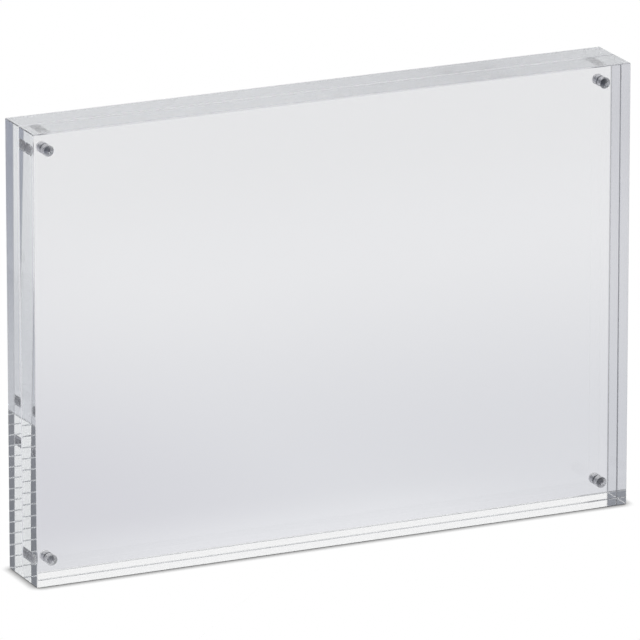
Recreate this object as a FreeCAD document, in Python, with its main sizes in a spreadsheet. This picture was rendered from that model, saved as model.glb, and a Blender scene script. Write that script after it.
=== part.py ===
# Acrylic block frame, 5 x 7 inch, landscape.
#
# Two clear cast acrylic blocks with polished, lightly chamfered edges stand back to back
# and are held together by four pairs of small cylinder magnets. Each magnet sits in a
# blind hole that a twist drill made from the mating face of its block, so every hole ends
# in the drill's cone. A picture is slipped between the blocks by pulling the front one off.
#
# Frame: X to the right, Y to the rear, Z up. The origin is the middle of the footprint,
# on the surface that the frame stands on. All lengths are in millimetres.

import FreeCAD, Part
import math
import os
import Sketcher

doc = FreeCAD.newDocument("acrylic_block_frame")


# Driving dimensions

sheet = doc.addObject("Spreadsheet::Sheet", "sizes")

driving_sizes = [
    ("frame_width", 178.0, "outer width of both blocks, 7 inch print size"),
    ("frame_height", 127.0, "outer height of both blocks, 5 inch print size"),
    ("front_thickness", 9.9, "front block, from nominal 10 mm cast sheet"),
    ("rear_thickness", 9.3, "rear block, from nominal 10 mm cast sheet of another batch"),
    ("seam_gap", 0.1, "air gap between the mating faces when the magnets hold them"),
    ("edge_chamfer", 0.2, "small chamfer left by edge polishing, on every outer edge"),
    ("magnet_diameter", 3.0, "nickel plated neodymium cylinder"),
    ("magnet_length", 3.0, "length of each magnet along Y"),
    ("magnet_chamfer", 0.2, "broken rim of the plated magnet, at both ends"),
    ("magnet_recess", 0.4, "how far a magnet sits below its mating face"),
    ("hole_clearance", 0.05, "radial room between a magnet and its hole"),
    ("hole_relief", 0.5, "straight part of the hole left empty beyond the magnet"),
    ("drill_point_angle", 118.0, "included angle of the drill's cone, in degrees"),
    ("side_inset", 6.0, "from the left or right edge to a hole's axis"),
    ("end_inset", 6.0, "from the top or bottom edge to a hole's axis"),
]

derived_sizes = [
    ("total_depth", "=front_thickness + seam_gap + rear_thickness"),
    ("front_mating_y", "=front_thickness - total_depth / 2"),
    ("rear_mating_y", "=total_depth / 2 - rear_thickness"),
    ("hole_diameter", "=magnet_diameter + 2 * hole_clearance"),
    ("hole_depth", "=magnet_recess + magnet_length + hole_relief"),
    ("hole_x", "=frame_width / 2 - side_inset"),
    ("hole_low_z", "=end_inset"),
    ("hole_high_z", "=frame_height - end_inset"),
]


def fill_sheet():
    """Put each size in a row of its own, with its alias and what it means."""
    row = 1
    for alias, value, meaning in driving_sizes:
        sheet.set("A%d" % row, alias)
        sheet.set("B%d" % row, str(value))
        sheet.set("C%d" % row, meaning)
        sheet.setAlias("B%d" % row, alias)
        row = row + 1
    doc.recompute()
    for alias, formula in derived_sizes:
        sheet.set("A%d" % row, alias)
        sheet.set("B%d" % row, formula)
        sheet.setAlias("B%d" % row, alias)
        doc.recompute()
        row = row + 1


fill_sheet()


def size(alias):
    """The present value of a size, for checks and for first guesses in a sketch."""
    return float(sheet.get(alias))


def origin_plane(body, role):
    """One of a body's own origin planes, found by its role."""
    for feature in body.Origin.OriginFeatures:
        if feature.Role == role:
            return feature
    raise RuntimeError("no origin plane " + role + " in " + body.Name)


def sketch_on_mating_plane(body, name):
    """A sketch on the body's XZ plane, whose x is the frame's X and y is the frame's Z."""
    sketch = body.newObject("Sketcher::SketchObject", name)
    sketch.AttachmentSupport = [(origin_plane(body, "XZ_Plane"), "")]
    sketch.MapMode = "FlatFace"
    return sketch


# Blocks

def draw_block_outline(body, name):
    """The block's rectangle: centred in X, standing on Z = 0."""
    sketch = sketch_on_mating_plane(body, name)
    half = size("frame_width") / 2
    high = size("frame_height")
    corners = [(-half, 0), (half, 0), (half, high), (-half, high)]
    for index in range(len(corners)):
        start = FreeCAD.Vector(*corners[index])
        end = FreeCAD.Vector(*corners[(index + 1) % len(corners)])
        sketch.addGeometry(Part.LineSegment(start, end), False)
    bottom, right, top, left = 0, 1, 2, 3
    for first, second in ((bottom, right), (right, top), (top, left), (left, bottom)):
        sketch.addConstraint(Sketcher.Constraint("Coincident", first, 2, second, 1))
    for line in (bottom, top):
        sketch.addConstraint(Sketcher.Constraint("Horizontal", line))
    for line in (right, left):
        sketch.addConstraint(Sketcher.Constraint("Vertical", line))
    sketch.addConstraint(Sketcher.Constraint("Symmetric", bottom, 1, bottom, 2, -1, 1))
    width_index = sketch.addConstraint(Sketcher.Constraint("DistanceX", bottom, 1, bottom, 2, 2 * half))
    sketch.renameConstraint(width_index, "width")
    sketch.setExpression("Constraints.width", "sizes.frame_width")
    height_index = sketch.addConstraint(Sketcher.Constraint("DistanceY", right, 1, right, 2, high))
    sketch.renameConstraint(height_index, "height")
    sketch.setExpression("Constraints.height", "sizes.frame_height")
    return sketch


def draw_hole_centres(body, name):
    """Four circles on the mating face, one for each magnet hole."""
    sketch = sketch_on_mating_plane(body, name)
    across = size("hole_x")
    radius = size("hole_diameter") / 2
    places = [("left", "low"), ("right", "low"), ("left", "high"), ("right", "high")]
    for index, (side, level) in enumerate(places):
        x = across if side == "right" else -across
        z = size("hole_%s_z" % level)
        circle = Part.Circle(FreeCAD.Vector(x, z, 0), FreeCAD.Vector(0, 0, 1), radius)
        sketch.addGeometry(circle, False)
        x_index = sketch.addConstraint(Sketcher.Constraint("DistanceX", -1, 1, index, 3, x))
        sketch.renameConstraint(x_index, "x_%s_%s" % (side, level))
        sign = "" if side == "right" else "-"
        sketch.setExpression("Constraints.x_%s_%s" % (side, level), sign + "sizes.hole_x")
        z_index = sketch.addConstraint(Sketcher.Constraint("DistanceY", -1, 1, index, 3, z))
        sketch.renameConstraint(z_index, "z_%s_%s" % (side, level))
        sketch.setExpression("Constraints.z_%s_%s" % (side, level), "sizes.hole_%s_z" % level)
        if index == 0:
            bore_index = sketch.addConstraint(Sketcher.Constraint("Diameter", index, 2 * radius))
            sketch.renameConstraint(bore_index, "bore")
            sketch.setExpression("Constraints.bore", "sizes.hole_diameter")
        else:
            sketch.addConstraint(Sketcher.Constraint("Equal", 0, index))
    return sketch


def outer_edges(shape):
    """Names of the twelve straight edges of a plain slab."""
    return ["Edge%d" % (index + 1) for index in range(len(shape.Edges))]


def make_block(name, thickness_alias, mating_alias, to_rear):
    """A slab that grows away from its mating face, chamfered, then drilled from that face."""
    body = doc.addObject("PartDesign::Body", name)
    body.Label = name

    pad = body.newObject("PartDesign::Pad", name + "_slab")
    pad.Profile = draw_block_outline(body, name + "_outline")
    pad.setExpression("Length", "sizes." + thickness_alias)
    pad.Reversed = to_rear
    doc.recompute()

    polish = body.newObject("PartDesign::Chamfer", name + "_edges")
    polish.Base = (pad, outer_edges(pad.Shape))
    polish.setExpression("Size", "sizes.edge_chamfer")
    doc.recompute()
    before = polish.Shape.Volume

    holes = body.newObject("PartDesign::Hole", name + "_holes")
    holes.Profile = draw_hole_centres(body, name + "_hole_centres")
    doc.recompute()
    holes.Threaded = False
    holes.HoleCutType = "None"
    holes.DepthType = "Dimension"
    holes.DrillPoint = "Angled"
    holes.DrillForDepth = False
    holes.Reversed = not to_rear
    holes.setExpression("Diameter", "sizes.hole_diameter")
    holes.setExpression("Depth", "sizes.hole_depth")
    holes.setExpression("DrillPointAngle", "sizes.drill_point_angle")
    doc.recompute()

    body.setExpression("Placement.Base.y", "sizes." + mating_alias)
    doc.recompute()
    report_drilling(name, before - holes.Shape.Volume)
    return body


def drilled_volume():
    """Volume that the four holes with their cones should take out of a block."""
    radius = size("hole_diameter") / 2
    cone_height = radius / math.tan(math.radians(size("drill_point_angle")) / 2)
    one_hole = math.pi * radius ** 2 * (size("hole_depth") + cone_height / 3)
    return 4 * one_hole


def report_drilling(name, removed):
    """Stop when the holes point away from the block or miss their cones."""
    wanted = drilled_volume()
    print("%s: holes took %.2f of %.2f cubic mm" % (name, removed, wanted))
    if abs(removed - wanted) > wanted / 100:
        raise RuntimeError(name + " was not drilled as its sizes say")


# Magnets

def make_magnet(name, x_formula, y_formula, z_formula):
    """A plated cylinder with broken rims, its axis along Y, centred on its own origin."""
    body = doc.addObject("PartDesign::Body", name)
    body.Label = name

    sketch = sketch_on_mating_plane(body, name + "_disc")
    radius = size("magnet_diameter") / 2
    disc = Part.Circle(FreeCAD.Vector(0, 0, 0), FreeCAD.Vector(0, 0, 1), radius)
    sketch.addGeometry(disc, False)
    sketch.addConstraint(Sketcher.Constraint("Coincident", 0, 3, -1, 1))
    across_index = sketch.addConstraint(Sketcher.Constraint("Diameter", 0, 2 * radius))
    sketch.renameConstraint(across_index, "across")
    sketch.setExpression("Constraints.across", "sizes.magnet_diameter")

    pad = body.newObject("PartDesign::Pad", name + "_cylinder")
    pad.Profile = sketch
    pad.Midplane = True
    pad.setExpression("Length", "sizes.magnet_length")
    doc.recompute()

    rims = []
    for index, edge in enumerate(pad.Shape.Edges):
        if isinstance(edge.Curve, Part.Circle):
            rims.append("Edge%d" % (index + 1))
    broken = body.newObject("PartDesign::Chamfer", name + "_rims")
    broken.Base = (pad, rims)
    broken.setExpression("Size", "sizes.magnet_chamfer")

    body.setExpression("Placement.Base.x", x_formula)
    body.setExpression("Placement.Base.y", y_formula)
    body.setExpression("Placement.Base.z", z_formula)
    doc.recompute()
    return body


def make_magnets(block, y_formula):
    """The four magnets of one block, one in each of its holes."""
    magnets = []
    for level, z_alias in (("bottom", "hole_low_z"), ("top", "hole_high_z")):
        for side, sign in (("left", "-"), ("right", "")):
            name = "%s_magnet_%s_%s" % (block, level, side)
            magnets.append(make_magnet(name, sign + "sizes.hole_x", y_formula, "sizes." + z_alias))
    return magnets


front_block = make_block("front_block", "front_thickness", "front_mating_y", False)
rear_block = make_block("rear_block", "rear_thickness", "rear_mating_y", True)
front_magnets = make_magnets(
    "front", "sizes.front_mating_y - sizes.magnet_recess - sizes.magnet_length / 2")
rear_magnets = make_magnets(
    "rear", "sizes.rear_mating_y + sizes.magnet_recess + sizes.magnet_length / 2")
subparts = [front_block, rear_block] + front_magnets + rear_magnets


# Checks and files

def check_document():
    """Every object must have recomputed, and every sub-part must be one valid solid."""
    doc.recompute()
    for item in doc.Objects:
        if "Invalid" in item.State or "Error" in item.State:
            raise RuntimeError(item.Name + " did not recompute: " + str(item.State))
    for body in subparts:
        shape = body.Shape
        if shape.isNull() or not shape.isValid() or len(shape.Solids) != 1:
            raise RuntimeError(body.Label + " is not one valid solid")


def write_parts():
    """One STEP file for each sub-part, named after its node."""
    os.makedirs("parts", exist_ok=True)
    for body in subparts:
        body.Shape.exportStep("parts/%s.step" % body.Label)
        box = body.Shape.BoundBox
        print("%-28s volume %10.2f  X %.2f..%.2f  Y %.2f..%.2f  Z %.2f..%.2f" % (
            body.Label, body.Shape.Volume, box.XMin, box.XMax, box.YMin, box.YMax, box.ZMin, box.ZMax))


check_document()
write_parts()
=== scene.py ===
# %% [markdown]
# # A magnetic acrylic block frame
# Two thick blocks of clear cast acrylic stand on edge, face to face. Four pairs of small magnets, sunk in
# blind holes near the corners, hold them together. A picture goes in the seam between them. The real solids
# come from the CAD model, and this lesson gives them their finish, their light and their camera. Every
# length is in metres.

# %% Load the frame
import math

import bpy
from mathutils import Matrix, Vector


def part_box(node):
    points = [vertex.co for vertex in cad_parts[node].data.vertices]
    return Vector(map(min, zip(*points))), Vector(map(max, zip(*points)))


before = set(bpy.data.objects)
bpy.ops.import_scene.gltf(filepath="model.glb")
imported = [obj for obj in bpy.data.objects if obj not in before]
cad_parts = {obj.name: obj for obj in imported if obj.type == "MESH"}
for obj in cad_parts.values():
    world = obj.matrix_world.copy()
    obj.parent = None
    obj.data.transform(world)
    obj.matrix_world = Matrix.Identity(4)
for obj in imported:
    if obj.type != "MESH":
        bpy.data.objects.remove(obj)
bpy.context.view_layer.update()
blocks = ["front_block", "rear_block"]
magnets = sorted(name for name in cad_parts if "magnet" in name)
print("nodes:", blocks, magnets)

# %% [markdown]
# Colours are picked on a screen, so they are written as sRGB hex values. Cycles adds up light, so it
# needs linear values, and one function turns one into the other. A second function adds any node with its
# settings and links, which keeps each material down to a few lines.

# %% Colour and node helpers
MM = 0.001


def linear(hex_colour):
    """An sRGB hex colour as linear red, green, blue and alpha."""
    channels = [int(hex_colour[i : i + 2], 16) / 255 for i in (1, 3, 5)]
    return [c / 12.92 if c <= 0.04045 else ((c + 0.055) / 1.055) ** 2.4 for c in channels] + [1.0]


def add_node(tree, kind, settings=None, links=None):
    """Adds a node. Settings go to its properties or sockets, links join its inputs to other outputs."""
    node = tree.nodes.new(kind)
    for key, value in (settings or {}).items():
        if isinstance(key, int) or key in node.inputs:
            node.inputs[key].default_value = value
        else:
            setattr(node, key, value)
    for key, source in (links or {}).items():
        tree.links.new(source, node.inputs[key])
    return node


def new_material(name):
    """An empty node material."""
    material = bpy.data.materials.new(name)
    material.use_nodes = True
    material.node_tree.nodes.clear()
    return material


def dress(names, material):
    """Gives the CAD nodes of these names one material."""
    for name in names:
        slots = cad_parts[name].data.materials
        slots.clear()
        slots.append(material)
    print(material.name, "on", names)


print("mid grey", [round(c, 3) for c in linear("#808080")])

# %% [markdown]
# The camera comes next, because everything after it is judged through it. The photograph was taken from the
# front left and a little above, with a long lens from about two and a half metres, so the block shows
# almost no perspective. A camera could be turned by eye until it fits. This one was worked out from the
# corners of the block in the photograph, so that it stays put while everything else is matched.

# %% Camera
camera_place = Vector((-0.9954, -2.1594, 0.7722))
camera_aim = Vector((-0.0004, 0.0, 0.06197))
lens_length = 510.9
sensor_width = 36.0
nearest_seen = 0.05
farthest_seen = 60.0

camera_data = bpy.data.cameras.new("camera")
camera_data.lens = lens_length
camera_data.sensor_width = sensor_width
camera_data.clip_start = nearest_seen
camera_data.clip_end = farthest_seen
camera = bpy.data.objects.new("camera", camera_data)
camera.location = camera_place
camera.rotation_mode = "QUATERNION"
camera.rotation_quaternion = (camera_aim - camera_place).to_track_quat("-Z", "Y")
bpy.context.collection.objects.link(camera)
bpy.context.scene.camera = camera
print("camera distance", round((camera_aim - camera_place).length, 3), "m")

# %% [markdown]
# The finish of the blocks changes from place to place: the large faces are as cast, the narrow ones are cut
# and polished, and the magnet holes are left as the drill made them. Each face could have a material slot of
# its own, but its number changes with every build of the CAD model. So one material finds the faces by
# where they lie.
#
# The holes come first. They lie in mirror image about the middle of the block, so the distance from the
# nearest hole axis takes only a few nodes. Two masks come from it. One covers a whole hole. The other ends
# where the magnet ends, because the magnet is set in clear glue: glue and acrylic bend light alike, so the
# wall of the hole can't be seen there and the plating shows at its full width.

# %% Where the holes are
cone_reach = 2.5 * MM
glue_line = 0.07 * MM
magnet_low, magnet_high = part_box("front_magnet_top_right")
block_low, block_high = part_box("front_block")
rear_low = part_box("rear_block")[0]
hole_x = (magnet_low.x + magnet_high.x) / 2
mid_z = (block_low.z + block_high.z) / 2
hole_dz = (magnet_low.z + magnet_high.z) / 2 - mid_z
seam_y = (block_high.y + rear_low.y) / 2
glued_depth = seam_y - magnet_low.y
drilled_depth = glued_depth + cone_reach
hole_radius = (magnet_high.x - magnet_low.x) / 2 + glue_line
print("hole axes at x", round(hole_x, 4), "and z", round(mid_z, 4), "+-", round(hole_dz, 4))
print("seam at y", round(seam_y, 5), "glued to", round(glued_depth, 5), "from it")


def fold(tree, value, centre, offset):
    """Distance of a coordinate from the nearer of centre - offset and centre + offset, with a sign."""
    from_centre = add_node(tree, "ShaderNodeMath", {"operation": "SUBTRACT", 1: centre}, {0: value})
    outward = add_node(tree, "ShaderNodeMath", {"operation": "ABSOLUTE"}, {0: from_centre.outputs[0]})
    distance = add_node(tree, "ShaderNodeMath", {"operation": "SUBTRACT", 1: offset}, {0: outward.outputs[0]})
    return distance.outputs[0]


def hole_masks(tree, spot):
    """Two masks, each 1 on the wall of a magnet hole: as deep as the glue, and down to the cone's end."""
    across = fold(tree, spot.outputs["X"], 0.0, hole_x)
    up = fold(tree, spot.outputs["Z"], mid_z, hole_dz)
    depth = fold(tree, spot.outputs["Y"], seam_y, 0.0)
    offset = add_node(tree, "ShaderNodeCombineXYZ", links={"X": across, "Z": up})
    length = add_node(tree, "ShaderNodeVectorMath", {"operation": "LENGTH"}, {0: offset.outputs[0]})
    near_axis = add_node(
        tree, "ShaderNodeMath", {"operation": "LESS_THAN", 1: hole_radius}, {0: length.outputs["Value"]}
    )
    masks = []
    for reach in (glued_depth, drilled_depth):
        near_seam = add_node(tree, "ShaderNodeMath", {"operation": "LESS_THAN", 1: reach}, {0: depth})
        both = {0: near_axis.outputs[0], 1: near_seam.outputs[0]}
        mask = add_node(tree, "ShaderNodeMath", {"operation": "MULTIPLY"}, both)
        masks.append(mask.outputs[0])
    return masks


# %% [markdown]
# The edges are worked by hand. The top one is polished least: it keeps very shallow lines, and a haze that
# scatters part of the light. The long thin rims are scraped with a blade, which leaves them matt, and round
# the right end they are a little grey as painted shade. The top face is found by its height, and a rim by its
# slanting normal. The holes have slanting walls too: they share the rims' painted shade, and get the drill's
# roughness on top.

# %% Where the top face and the rims are
skin_depth = 0.01 * MM
straight = 0.9


def face_masks(tree, spot, facing):
    """Two masks, each 0 or 1: the slanting faces, which are mostly the scraped rims, and the top face."""
    largest = None
    for axis in "XYZ":
        part = add_node(tree, "ShaderNodeMath", {"operation": "ABSOLUTE"}, {0: facing.outputs[axis]})
        if largest:
            part = add_node(
                tree, "ShaderNodeMath", {"operation": "MAXIMUM"}, {0: largest.outputs[0], 1: part.outputs[0]}
            )
        largest = part
    scraped = add_node(
        tree, "ShaderNodeMath", {"operation": "LESS_THAN", 1: straight}, {0: largest.outputs[0]}
    )
    below_top = block_high.z - skin_depth
    top = add_node(
        tree, "ShaderNodeMath", {"operation": "GREATER_THAN", 1: below_top}, {0: spot.outputs["Z"]}
    )
    return scraped.outputs[0], top.outputs[0]


print("top face above z", round(block_high.z - skin_depth, 5))

# %% [markdown]
# Cast sheet is never quite even. Light that enters the left end is mirrored about thirteen times between
# the large faces, so a lean of a fifth of a degree in the front one moves the light and dark bands at that
# end. The face itself could be tilted, but it belongs to the CAD model and stays where it is. So the lean is
# given to the shading alone.

# %% The lean of the front face
lean_start = 18 * MM
lean_at_foot = 0.0004
lean_at_top = 0.0038


def leaning_normal(tree, spot, facing):
    """The normal, which leans a little to the right on the front block's front face, more so near the top."""
    behind_front = block_low.y + skin_depth
    in_front = add_node(
        tree, "ShaderNodeMath", {"operation": "LESS_THAN", 1: behind_front}, {0: spot.outputs["Y"]}
    )
    lean = add_node(
        tree,
        "ShaderNodeMapRange",
        {"From Min": lean_start, "From Max": block_high.z, "To Min": -lean_at_foot, "To Max": -lean_at_top},
        {"Value": spot.outputs["Z"]},
    )
    here = add_node(
        tree, "ShaderNodeMath", {"operation": "MULTIPLY"}, {0: lean.outputs["Result"], 1: in_front.outputs[0]}
    )
    outward = add_node(
        tree, "ShaderNodeMath", {"operation": "MULTIPLY"}, {0: here.outputs[0], 1: facing.outputs["Y"]}
    )
    shift = add_node(tree, "ShaderNodeCombineXYZ", links={"X": outward.outputs[0]})
    normal = add_node(tree, "ShaderNodeNewGeometry").outputs["Normal"]
    leaning = add_node(tree, "ShaderNodeVectorMath", {"operation": "ADD"}, {0: normal, 1: shift.outputs[0]})
    unit = add_node(tree, "ShaderNodeVectorMath", {"operation": "NORMALIZE"}, {0: leaning.outputs[0]})
    return unit.outputs[0]


print("lean", round(math.degrees(lean_at_foot), 3), "to", round(math.degrees(lean_at_top), 3), "degrees")

# %% [markdown]
# Polishing leaves long shallow waves along the top, and a drill leaves fine rings in a hole. As real shapes
# they would take thousands of faces for a few thousandths of a millimetre, so each is a bump of that depth. A
# Wave Texture of scale 1 has 20 / (2 pi) bands in a metre, from which the scale of the rings follows.

# %% Marks of polishing and drilling
polish_wave_pitch = 3.0 * MM
polish_wave_length = 60 * MM
polish_wave_depth = 0.004 * MM
polish_wave_detail = 1.0
polish_wave_breakup = 0.4
drill_ring_pitch = 0.35 * MM
drill_ring_depth = 0.005 * MM
drill_ring_wobble = 1.0
bands_per_metre = 20 / (2 * math.pi)


def marked_normal(tree, place, top, drilled, normal):
    """A normal with the polishing waves of the top face and the drill's rings in the holes."""
    waves_per_metre = (1 / polish_wave_length, 1 / polish_wave_pitch, 1 / polish_wave_length)
    stretched = add_node(
        tree,
        "ShaderNodeVectorMath",
        {"operation": "MULTIPLY", 1: waves_per_metre},
        {0: place.outputs["Object"]},
    )
    waves = add_node(
        tree,
        "ShaderNodeTexNoise",
        {"Scale": 1.0, "Detail": polish_wave_detail, "Roughness": polish_wave_breakup},
        {"Vector": stretched.outputs[0]},
    )
    ring_scale = 1 / drill_ring_pitch / bands_per_metre
    rings = add_node(
        tree,
        "ShaderNodeTexWave",
        {"bands_direction": "Y", "Scale": ring_scale, "Distortion": drill_ring_wobble},
        {"Vector": place.outputs["Object"]},
    )
    for pattern, mask, depth in ((waves, top, polish_wave_depth), (rings, drilled, drill_ring_depth)):
        here = add_node(
            tree, "ShaderNodeMath", {"operation": "MULTIPLY"}, {0: pattern.outputs["Fac"], 1: mask}
        )
        bump = add_node(
            tree,
            "ShaderNodeBump",
            {"Strength": 1.0, "Distance": depth},
            {"Height": here.outputs[0], "Normal": normal},
        )
        normal = bump.outputs["Normal"]
    return normal


print("waves every", polish_wave_pitch, "m, rings every", drill_ring_pitch, "m")

# %% [markdown]
# Most of a block is as smooth as the mould. The hazy top, the scraped rims and the drilled holes each have a
# roughness of their own, and the rims round the right end have a painted shade too. A picture painted over
# the block could hold both, but it would be coarse on rims this thin. With masks each finish is laid over the
# one before it, as the tools do on the real block, and ends sharply where its face ends.

# %% Roughness of the faces and painted shade of the rims
top_haze = 0.18
scraped_roughness = 0.4
drilled_roughness = 0.5
# The grey for the rims round the right end is painted shade, not a colour of the acrylic.
clear_rim, shaded_rim_grey = "#FFFFFF", "#A8A8AB"
shade_from_x, shade_to_x = block_high.x - 11 * MM, block_high.x - 8 * MM


def face_roughness(tree, top, scraped, drilled):
    """No roughness, but on the hazy top face, the scraped rims and the drilled holes."""
    smoother = {}
    for mask, roughness in ((top, top_haze), (scraped, scraped_roughness), (drilled, drilled_roughness)):
        finish = add_node(tree, "ShaderNodeMapRange", {"To Max": roughness}, {"Value": mask, **smoother})
        smoother = {"To Min": finish.outputs["Result"]}
    return finish.outputs["Result"]


def rim_painted_shade(tree, spot, scraped):
    """Clear, but a little grey on the rims round the right end, as painted shade."""
    rim_shade_ramp = add_node(
        tree,
        "ShaderNodeMapRange",
        {"From Min": shade_from_x, "From Max": shade_to_x},
        {"Value": spot.outputs["X"]},
    )
    rim_shade_here = add_node(
        tree, "ShaderNodeMath", {"operation": "MULTIPLY"}, {0: scraped, 1: rim_shade_ramp.outputs["Result"]}
    )
    tint = add_node(
        tree,
        "ShaderNodeMix",
        {"data_type": "RGBA", 6: linear(clear_rim), 7: linear(shaded_rim_grey)},
        {0: rim_shade_here.outputs[0]},
    )
    return tint.outputs[2]


print("roughness: top", top_haze, "rims", scraped_roughness, "holes", drilled_roughness)

# %% [markdown]
# The blocks are cast acrylic sheet. Its faces keep the gloss of the glass mould that it was cast in. It is
# as clear as glass but bends light a little less, with an IOR of 1.49. Looked at through its length it
# absorbs a little light, red more than blue, which gives its ends a faint cool tint. A Glass shader could
# give the gloss, but the Principled one also scatters the part of the light that the hazy top does.

# %% Clear cast acrylic
acrylic_ior = 1.49
acrylic_tint = "#CBD2D4"
acrylic_tint_density = 1.8
top_scatter = 0.26


def cast_acrylic():
    """Clear cast acrylic: glossy faces, polished edges with scraped rims, matt drilled holes."""
    material = new_material("clear_cast_acrylic_polished")
    tree = material.node_tree
    place = add_node(tree, "ShaderNodeTexCoord")
    spot = add_node(tree, "ShaderNodeSeparateXYZ", links={"Vector": place.outputs["Object"]})
    facing = add_node(tree, "ShaderNodeSeparateXYZ", links={"Vector": place.outputs["Normal"]})
    glued, drilled = hole_masks(tree, spot)
    scraped, top = face_masks(tree, spot, facing)
    clearness = add_node(
        tree, "ShaderNodeMapRange", {"To Min": 1.0, "To Max": 1.0 - top_scatter}, {"Value": top}
    )
    skin = add_node(
        tree,
        "ShaderNodeBsdfPrincipled",
        {"IOR": acrylic_ior},
        {
            "Base Color": rim_painted_shade(tree, spot, scraped),
            "Roughness": face_roughness(tree, top, scraped, drilled),
            "Transmission Weight": clearness.outputs["Result"],
            "Normal": marked_normal(tree, place, top, drilled, leaning_normal(tree, spot, facing)),
        },
    )
    wetted = add_node(tree, "ShaderNodeBsdfTransparent")
    layers = {0: glued, 1: skin.outputs[0], 2: wetted.outputs[0]}
    surface = add_node(tree, "ShaderNodeMixShader", links=layers)
    inside = add_node(
        tree, "ShaderNodeVolumeAbsorption", {"Color": linear(acrylic_tint), "Density": acrylic_tint_density}
    )
    ends = {"Surface": surface.outputs[0], "Volume": inside.outputs[0]}
    add_node(tree, "ShaderNodeOutputMaterial", links=ends)
    return material


dress(blocks, cast_acrylic())

# %% [markdown]
# Small magnets are tumbled in a drum before they are plated, which rounds them and leaves shallow dents. A
# bump of noise gives these. Real dents are too fine to show here, so they are drawn a quarter of a millimetre
# wide.

# %% Dents of the tumbled magnets
tumbled_grain = 0.25 * MM
tumbled_depth = 0.01 * MM
tumbled_strength = 0.1
tumbled_detail = 2.0
tumbled_breakup = 0.5


def tumbled_normal(tree, place):
    """A normal with the shallow dents of tumbling."""
    grain = add_node(
        tree,
        "ShaderNodeTexNoise",
        {"Scale": 1 / tumbled_grain, "Detail": tumbled_detail, "Roughness": tumbled_breakup},
        {"Vector": place.outputs["Object"]},
    )
    dents = add_node(
        tree,
        "ShaderNodeBump",
        {"Strength": tumbled_strength, "Distance": tumbled_depth},
        {"Height": grain.outputs["Fac"]},
    )
    return dents.outputs["Normal"]


print("dents every", tumbled_grain, "m")

# %% [markdown]
# The magnets are sintered neodymium, which rusts, so each is plated with nickel, and its gloss is a little
# soft. The ends are ground flat, so they are glossier than the sides, and their darker colour is painted
# shade. Ends and sides could have a material each, but they are told apart by the normal here, so that one
# plating covers the magnet as it does in the bath.

# %% Nickel-plated magnets
# The ends' darker colour is painted shade; only their lower roughness comes from the grinding.
side_colour, shaded_end_colour = "#C4C4C8", "#B4B4B8"
side_roughness, end_roughness = 0.3, 0.15


def nickel_plating():
    """Nickel plating on a tumbled magnet with ground ends, which are darker as painted shade."""
    material = new_material("nickel_plating_tumbled")
    tree = material.node_tree
    place = add_node(tree, "ShaderNodeTexCoord")
    facing = add_node(tree, "ShaderNodeSeparateXYZ", links={"Vector": place.outputs["Normal"]})
    along = add_node(tree, "ShaderNodeMath", {"operation": "ABSOLUTE"}, {0: facing.outputs["Y"]})
    ends = add_node(
        tree, "ShaderNodeMath", {"operation": "GREATER_THAN", 1: straight}, {0: along.outputs[0]}
    )
    plating = add_node(
        tree,
        "ShaderNodeMix",
        {"data_type": "RGBA", 6: linear(side_colour), 7: linear(shaded_end_colour)},
        {0: ends.outputs[0]},
    )
    gloss = add_node(
        tree,
        "ShaderNodeMapRange",
        {"To Min": side_roughness, "To Max": end_roughness},
        {"Value": ends.outputs[0]},
    )
    skin = add_node(
        tree,
        "ShaderNodeBsdfPrincipled",
        {"Metallic": 1.0},
        {
            "Base Color": plating.outputs[2],
            "Roughness": gloss.outputs["Result"],
            "Normal": tumbled_normal(tree, place),
        },
    )
    add_node(tree, "ShaderNodeOutputMaterial", links={"Surface": skin.outputs[0]})
    return material


dress(magnets, nickel_plating())

# %% [markdown]
# Clear acrylic has no colour of its own to show: what the eye sees is the studio, bent and reflected. The
# camera sees plain white all round, as in a product photograph that is cut out. The acrylic sees a room that
# is bright above it and behind it to the right, and darker behind it to the left and on the camera's side.
#
# A photograph of a real studio could serve, but four colours with soft steps between them can be matched to
# the block one by one. The ranges are parts of the unit vector that points towards the room.

# %% World
back_right, back_left, camera_side, overhead = "#FFFFFF", "#8E9198", "#6E7178", "#F0F2F5"
right_range = (-0.38, -0.26)
back_range = (-0.3, 0.4)
top_range = (0.45, 0.8)


def fade(tree, value, ends, first, second):
    """A colour that goes smoothly from the first to the second as a value goes between two ends."""
    step = add_node(
        tree,
        "ShaderNodeMapRange",
        {"interpolation_type": "SMOOTHSTEP", "From Min": ends[0], "From Max": ends[1]},
        {"Value": value},
    )
    settings = {"data_type": "RGBA"}
    links = {0: step.outputs["Result"]}
    for socket, colour in ((6, first), (7, second)):
        if isinstance(colour, str):
            settings[socket] = linear(colour)
        else:
            links[socket] = colour
    return add_node(tree, "ShaderNodeMix", settings, links).outputs[2]


world = bpy.data.worlds.new("studio")
world.use_nodes = True
bpy.context.scene.world = world
room = world.node_tree
room.nodes.clear()
toward = add_node(room, "ShaderNodeTexCoord")
parts = add_node(room, "ShaderNodeSeparateXYZ", links={"Vector": toward.outputs["Generated"]})
back_wall = fade(room, parts.outputs["X"], right_range, back_left, back_right)
walls = fade(room, parts.outputs["Y"], back_range, camera_side, back_wall)
shell = fade(room, parts.outputs["Z"], top_range, walls, overhead)
studio_light = add_node(room, "ShaderNodeBackground", {"Strength": 1.0}, {"Color": shell})
plain_white = add_node(room, "ShaderNodeBackground", {"Color": linear("#FFFFFF"), "Strength": 1.0})
ray = add_node(room, "ShaderNodeLightPath")
chosen = add_node(
    room,
    "ShaderNodeMixShader",
    links={0: ray.outputs["Is Camera Ray"], 1: studio_light.outputs[0], 2: plain_white.outputs[0]},
)
add_node(room, "ShaderNodeOutputWorld", links={"Surface": chosen.outputs[0]})
print("world nodes", len(room.nodes))

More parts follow.
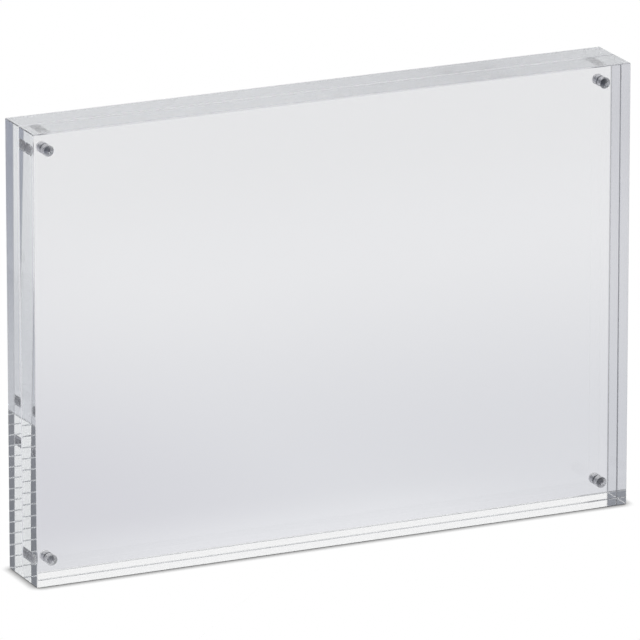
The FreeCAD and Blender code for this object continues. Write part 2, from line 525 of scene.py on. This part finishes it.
# %% [markdown]
# The floor is a plain pale sheet. Acrylic does not touch it all over: a thin film of air stays under it, and
# that film is what lets the bottom face mirror the inside of the block. A floor at the block's own height
# would press that film out, so it lies a tenth of a millimetre lower.

# %% Floor
air_film = 0.1 * MM
floor_reach = 6.0

bpy.ops.mesh.primitive_plane_add(size=2 * floor_reach, location=(0.0, 0.0, -air_film))
floor = bpy.context.object
floor.name = "studio_floor"
print("floor at", -air_film)

# %% [markdown]
# What the acrylic sees of the sheet is painted light and shade that changes with the place: painted shade
# far in front on the camera's side, and a paler painted shadow of the frame under it and behind it. Most
# stretches also change a little from left to right. Lamps over a white sheet could do this, but the blocks
# would mirror the lamps too. So the sheet gives off its light by itself, in these colours.

# %% Painted light and shade of the sheet
paper = new_material("pale_satin_sheet_painted_light")
tree = paper.node_tree
where = add_node(tree, "ShaderNodeNewGeometry")
spot = add_node(tree, "ShaderNodeSeparateXYZ", links={"Vector": where.outputs["Position"]})
spot_x, spot_y = spot.outputs["X"], spot.outputs["Y"]

# These colours are the sheet's glowing painted light: the dark front ones are painted shade, and the ones
# under and behind the frame are its painted shadow.
far_front, near_camera = "#6A6E7A", "#888C9B"
under_end, under_left, under_right = "#C8C9CD", "#D4D5D9", "#C6C7CC"
behind_left, behind_right = "#BCBCC3", "#C4C5CA"
far_left, far_right = "#CECED2", "#DDDDDE"

under = fade(tree, spot_x, (-90 * MM, -20 * MM), under_end, under_left)
under = fade(tree, spot_x, (20 * MM, 90 * MM), under, under_right)
behind = fade(tree, spot_x, (-50 * MM, 30 * MM), behind_left, behind_right)
far_behind = fade(tree, spot_x, (-100 * MM, 70 * MM), far_left, far_right)
foreground = fade(tree, spot_y, (-370 * MM, -270 * MM), far_front, near_camera)
sweep = fade(tree, spot_y, (-250 * MM, -5 * MM), foreground, under)
sweep = fade(tree, spot_y, (0.0, 50 * MM), sweep, behind)
sweep = fade(tree, spot_y, (50 * MM, 260 * MM), sweep, far_behind)
print("sheet colour nodes", len(tree.nodes))

# %% [markdown]
# A window on the left would light that side of the sheet, and the left end of the blocks shows that it did.
# No lamp stands in for it: the strength of the sheet's own light rises towards the left, and less so far
# behind the frame.

# %% Window light on the sheet
window = 0.4
window_far_share = 0.15
window_x = (-150 * MM, -95 * MM)
window_y = (80 * MM, 250 * MM)

to_left = add_node(
    tree,
    "ShaderNodeMapRange",
    {
        "interpolation_type": "SMOOTHSTEP",
        "From Min": window_x[0],
        "From Max": window_x[1],
        "To Min": window,
        "To Max": 0.0,
    },
    {"Value": spot_x},
)
not_far = add_node(
    tree,
    "ShaderNodeMapRange",
    {
        "interpolation_type": "SMOOTHSTEP",
        "From Min": window_y[0],
        "From Max": window_y[1],
        "To Min": 1.0,
        "To Max": window_far_share,
    },
    {"Value": spot_y},
)
window_light = {0: to_left.outputs["Result"], 1: not_far.outputs["Result"]}
glow = add_node(tree, "ShaderNodeMath", {"operation": "MULTIPLY_ADD", 2: 1.0}, window_light)
print("window adds", window, "at the left")

# %% [markdown]
# The camera itself sees the sheet as plain white with a thin contact shadow. A sheet that gives off light
# shows no shadow, so an Ambient Occlusion node darkens it close to the blocks. Everything else sees the
# painted light and shade above, with a weak sheen on them.

# %% Light of the sheet
sheen_colour = "#797979"
sheen_roughness = 0.3
shadow_reach = 2.7 * MM
shadow_samples = 8
shadow_depth = 1.5

lit_paper = add_node(tree, "ShaderNodeEmission", links={"Color": sweep, "Strength": glow.outputs[0]})
sheen = add_node(
    tree, "ShaderNodeBsdfGlossy", {"Color": linear(sheen_colour), "Roughness": sheen_roughness}
)
seen_through = add_node(tree, "ShaderNodeAddShader", links={0: lit_paper.outputs[0], 1: sheen.outputs[0]})
closeness = add_node(
    tree, "ShaderNodeAmbientOcclusion", {"samples": shadow_samples, "Distance": shadow_reach}
)
contact = add_node(
    tree, "ShaderNodeMath", {"operation": "POWER", 1: shadow_depth}, {0: closeness.outputs["AO"]}
)
seen_directly = add_node(
    tree, "ShaderNodeEmission", {"Color": linear("#FFFFFF")}, {"Strength": contact.outputs[0]}
)
ray = add_node(tree, "ShaderNodeLightPath")
chosen = add_node(
    tree,
    "ShaderNodeMixShader",
    links={0: ray.outputs["Is Camera Ray"], 1: seen_through.outputs[0], 2: seen_directly.outputs[0]},
)
add_node(tree, "ShaderNodeOutputMaterial", links={"Surface": chosen.outputs[0]})
floor.data.materials.append(paper)
print("sheet nodes", len(tree.nodes))

# %% [markdown]
# Light that enters a clear block at one end is mirrored up to about fifteen times between its faces before
# it leaves at the other end. The default of twelve bounces would turn those paths black, so there are more
# here. The Standard view shows the hex colours as they were picked.

# %% Bounces and view
bounces = 48
scene = bpy.context.scene
scene.cycles.max_bounces = bounces
scene.cycles.transmission_bounces = bounces
scene.cycles.glossy_bounces = bounces
scene.cycles.transparent_max_bounces = bounces
scene.view_settings.view_transform = "Standard"
print("bounces", scene.cycles.max_bounces)
